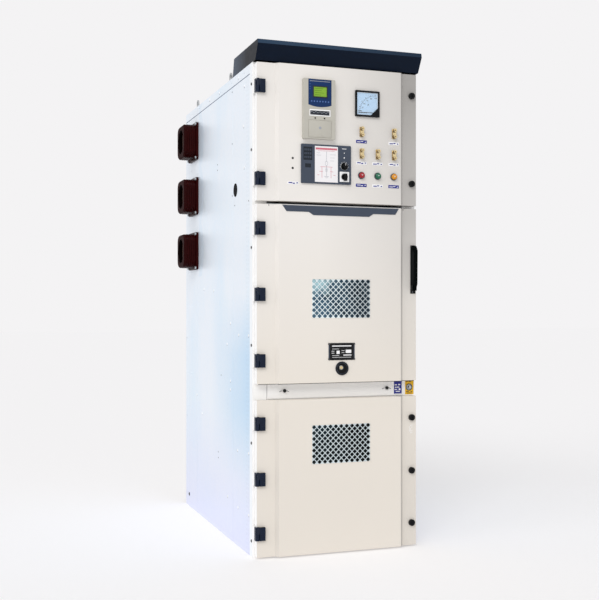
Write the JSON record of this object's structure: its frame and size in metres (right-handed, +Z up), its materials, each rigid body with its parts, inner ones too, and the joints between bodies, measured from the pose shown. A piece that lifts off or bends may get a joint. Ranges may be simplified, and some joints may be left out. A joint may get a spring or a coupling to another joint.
{
  "type": "metal-clad switchgear",
  "caption": "Withdrawable medium-voltage switchgear cabinet with three hinged doors, instrument panel, racked breaker truck, shutters, earthing switch and side busbar bushings.",
  "frame": {"origin": "centre of the body's footprint on the floor, midway between the four anchor bolt holes", "axes": "+Z up, -Y towards the doors, +X to the right seen from the front"},
  "size_m": [0.878, 1.528, 2.325],
  "materials": {
    "cream_paint": "textured powder coat",
    "white_paint": "powder coat",
    "zinc_sheet": "aluminium-zinc coated sheet",
    "galvanised_steel": "zinc plated",
    "navy_paint": "satin paint",
    "black_zinc": "black coated zinc die casting",
    "epoxy": "cast epoxy resin",
    "copper": "bare copper",
    "brass": "turned brass",
    "relay_grey": "moulded housing",
    "meter_black": "moulded frame",
    "slate_panel": "moulded frame",
    "lamp_lens": "coloured lenses",
    "black_plastic": "moulded",
    "mechanism_grey": "painted sheet"
  },
  "bodies": {
    "cabinet": {"base_frame": "galvanised_steel", "left_side_wall": "zinc_sheet", "right_side_wall": "zinc_sheet", "front_frame": "white_paint", "instrument_box": "zinc_sheet", "inner_partitions": "zinc_sheet", "contact_boxes": "epoxy", "fixed_contacts": "copper", "main_busbars": "copper", "busbar_bushings": "epoxy", "current_transformers": "epoxy", "earthing_switch_frame": "galvanised_steel", "rear_covers": "cream_paint", "roof_plate": "zinc_sheet", "header": "navy_paint", "lifting_lugs": "galvanised_steel", "gland_plate": "zinc_sheet", "earth_bar": "copper", "hinge_brackets": "black_zinc", "cover_bolts": "galvanised_steel"},
    "instrument_door_leaf": {"instrument_door": "cream_paint", "relay_case": "relay_grey", "ammeter_case": "meter_black", "mimic_unit": "slate_panel", "link_posts": "brass", "pilot_lamps": "lamp_lens"},
    "breaker_door_leaf": {"breaker_door": "cream_paint", "breaker_grille": "white_paint", "door_fittings": "slate_panel"},
    "cable_door_leaf": {"cable_door": "cream_paint", "cable_grille": "white_paint"},
    "instrument_latch_top": {"instrument_latch_top": "black_plastic"},
    "instrument_latch_bottom": {"instrument_latch_bottom": "black_plastic"},
    "cable_latch_top": {"cable_latch_top": "black_plastic"},
    "cable_latch_middle": {"cable_latch_middle": "black_plastic"},
    "cable_latch_bottom": {"cable_latch_bottom": "black_plastic"},
    "door_handle": {"door_handle": "black_plastic"},
    "lock_bar": {"lock_bar": "galvanised_steel"},
    "port_lock": {"port_lock": "black_plastic"},
    "mimic_knob": {"mimic_knob": "black_plastic"},
    "mimic_switch": {"mimic_switch": "black_plastic"},
    "test_link_1": {"test_link_1": "brass"},
    "test_link_2": {"test_link_2": "brass"},
    "test_link_3": {"test_link_3": "brass"},
    "test_link_4": {"test_link_4": "brass"},
    "test_link_5": {"test_link_5": "brass"},
    "ammeter_needle": {"ammeter_needle": "meter_black"},
    "earthing_drive": {"earthing_drive_shaft": "galvanised_steel"},
    "earthing_blades": {"earthing_blades": "copper"},
    "truck": {"truck_chassis": "galvanised_steel", "breaker_mechanism": "mechanism_grey", "breaker_poles": "epoxy", "contact_arms": "copper"},
    "front_axle": {"front_axle": "galvanised_steel"},
    "rear_axle": {"rear_axle": "galvanised_steel"},
    "upper_shutter": {"upper_shutter": "galvanised_steel"},
    "lower_shutter": {"lower_shutter": "galvanised_steel"},
    "relief_flap_front": {"relief_flap_front": "zinc_sheet"},
    "relief_flap_middle": {"relief_flap_middle": "zinc_sheet"},
    "relief_flap_rear": {"relief_flap_rear": "zinc_sheet"}
  },
  "joints": [
    {"name": "instrument_door_hinge", "type": "hinge", "parent": "cabinet", "child": "instrument_door_leaf", "pos_m": [-0.389, -0.7525, 1.917], "axis": [0, 0, -1], "range_deg": [0, 110]},
    {"name": "breaker_door_hinge", "type": "hinge", "parent": "cabinet", "child": "breaker_door_leaf", "pos_m": [-0.389, -0.7525, 1.189], "axis": [0, 0, -1], "range_deg": [0, 110]},
    {"name": "cable_door_hinge", "type": "hinge", "parent": "cabinet", "child": "cable_door_leaf", "pos_m": [-0.389, -0.7525, 0.359], "axis": [0, 0, -1], "range_deg": [0, 110]},
    {"name": "instrument_latch_top_turn", "type": "hinge", "parent": "instrument_door_leaf", "child": "instrument_latch_top", "pos_m": [0.3655, -0.745, 2.13], "axis": [0, 1, 0], "range_deg": [0, 90]},
    {"name": "instrument_latch_bottom_turn", "type": "hinge", "parent": "instrument_door_leaf", "child": "instrument_latch_bottom", "pos_m": [0.3655, -0.745, 1.714], "axis": [0, 1, 0], "range_deg": [0, 90]},
    {"name": "cable_latch_top_turn", "type": "hinge", "parent": "cable_door_leaf", "child": "cable_latch_top", "pos_m": [0.3655, -0.745, 0.611], "axis": [0, 1, 0], "range_deg": [0, 90]},
    {"name": "cable_latch_middle_turn", "type": "hinge", "parent": "cable_door_leaf", "child": "cable_latch_middle", "pos_m": [0.3655, -0.745, 0.361], "axis": [0, 1, 0], "range_deg": [0, 90]},
    {"name": "cable_latch_bottom_turn", "type": "hinge", "parent": "cable_door_leaf", "child": "cable_latch_bottom", "pos_m": [0.3655, -0.745, 0.114], "axis": [0, 1, 0], "range_deg": [0, 90]},
    {"name": "door_handle_swing", "type": "hinge", "parent": "breaker_door_leaf", "child": "door_handle", "pos_m": [0.3735, -0.757, 1.222], "axis": [1, 0, 0], "range_deg": [0, 85]},
    {"name": "lock_bar_slide", "type": "slide", "parent": "breaker_door_leaf", "child": "lock_bar", "axis": [0, 0, 1], "range_m": [0, 0.012]},
    {"name": "port_lock_turn", "type": "hinge", "parent": "breaker_door_leaf", "child": "port_lock", "pos_m": [0.0086, -0.761, 0.8505], "axis": [0, 1, 0], "range_deg": [0, 90]},
    {"name": "mimic_knob_turn", "type": "hinge", "parent": "instrument_door_leaf", "child": "mimic_knob", "pos_m": [0.0174, -0.769, 1.778], "axis": [0, 1, 0], "range_deg": [-45, 45]},
    {"name": "mimic_switch_turn", "type": "hinge", "parent": "instrument_door_leaf", "child": "mimic_switch", "pos_m": [0.0174, -0.771, 1.73], "axis": [0, 1, 0], "range_deg": [-45, 45]},
    {"name": "test_link_1_swing", "type": "hinge", "parent": "instrument_door_leaf", "child": "test_link_1", "pos_m": [0.1056, -0.77, 1.9285], "axis": [0, 1, 0], "range_deg": [0, 100]},
    {"name": "test_link_2_swing", "type": "hinge", "parent": "instrument_door_leaf", "child": "test_link_2", "pos_m": [0.2685, -0.77, 1.9285], "axis": [0, 1, 0], "range_deg": [0, 100]},
    {"name": "test_link_3_swing", "type": "hinge", "parent": "instrument_door_leaf", "child": "test_link_3", "pos_m": [0.1056, -0.77, 1.828], "axis": [0, 1, 0], "range_deg": [0, 100]},
    {"name": "test_link_4_swing", "type": "hinge", "parent": "instrument_door_leaf", "child": "test_link_4", "pos_m": [0.186, -0.77, 1.828], "axis": [0, 1, 0], "range_deg": [0, 100]},
    {"name": "test_link_5_swing", "type": "hinge", "parent": "instrument_door_leaf", "child": "test_link_5", "pos_m": [0.2685, -0.77, 1.828], "axis": [0, 1, 0], "range_deg": [0, 100]},
    {"name": "ammeter_needle_turn", "type": "hinge", "parent": "instrument_door_leaf", "child": "ammeter_needle", "pos_m": [0.173, -0.767, 2.034], "axis": [0, 1, 0], "range_deg": [0, 90], "stiffness_Nm_per_rad": 0.01},
    {"name": "earthing_drive_turn", "type": "hinge", "parent": "cabinet", "child": "earthing_drive", "pos_m": [0.372, 0, 0.751], "axis": [0, 1, 0], "range_deg": [0, 84.4]},
    {"name": "earthing_blades_turn", "type": "hinge", "parent": "cabinet", "child": "earthing_blades", "pos_m": [0, 0.52, 0.751], "axis": [-1, 0, 0], "range_deg": [0, 84.4]},
    {"name": "truck_racking", "type": "slide", "parent": "cabinet", "child": "truck", "axis": [0, 1, 0], "range_m": [0, 0.2]},
    {"name": "front_axle_roll", "type": "hinge", "parent": "truck", "child": "front_axle", "pos_m": [0, -0.52, 0.8195], "axis": [-1, 0, 0], "range_deg": [0, 459]},
    {"name": "rear_axle_roll", "type": "hinge", "parent": "truck", "child": "rear_axle", "pos_m": [0, -0.24, 0.8195], "axis": [-1, 0, 0], "range_deg": [0, 459]},
    {"name": "upper_shutter_slide", "type": "slide", "parent": "cabinet", "child": "upper_shutter", "axis": [0, 0, 1], "range_m": [0, 0.156]},
    {"name": "lower_shutter_slide", "type": "slide", "parent": "cabinet", "child": "lower_shutter", "axis": [0, 0, -1], "range_m": [0, 0.156]},
    {"name": "relief_flap_front_lift", "type": "hinge", "parent": "cabinet", "child": "relief_flap_front", "pos_m": [0, -0.044, 2.246], "axis": [-1, 0, 0], "range_deg": [0, 80]},
    {"name": "relief_flap_middle_lift", "type": "hinge", "parent": "cabinet", "child": "relief_flap_middle", "pos_m": [0, 0.431, 2.246], "axis": [-1, 0, 0], "range_deg": [0, 80]},
    {"name": "relief_flap_rear_lift", "type": "hinge", "parent": "cabinet", "child": "relief_flap_rear", "pos_m": [0, 0.695, 2.246], "axis": [-1, 0, 0], "range_deg": [0, 80]}
  ],
  "couplings": [
    {"joint": "lock_bar_slide", "follows": "door_handle_swing", "m_per_rad": 0.008},
    {"joint": "earthing_blades_turn", "follows": "earthing_drive_turn", "ratio": 1},
    {"joint": "front_axle_roll", "follows": "truck_racking", "rad_per_m": 40},
    {"joint": "rear_axle_roll", "follows": "truck_racking", "rad_per_m": 40},
    {"joint": "upper_shutter_slide", "follows": "truck_racking", "ratio": 0.775},
    {"joint": "lower_shutter_slide", "follows": "truck_racking", "ratio": 0.775}
  ]
}
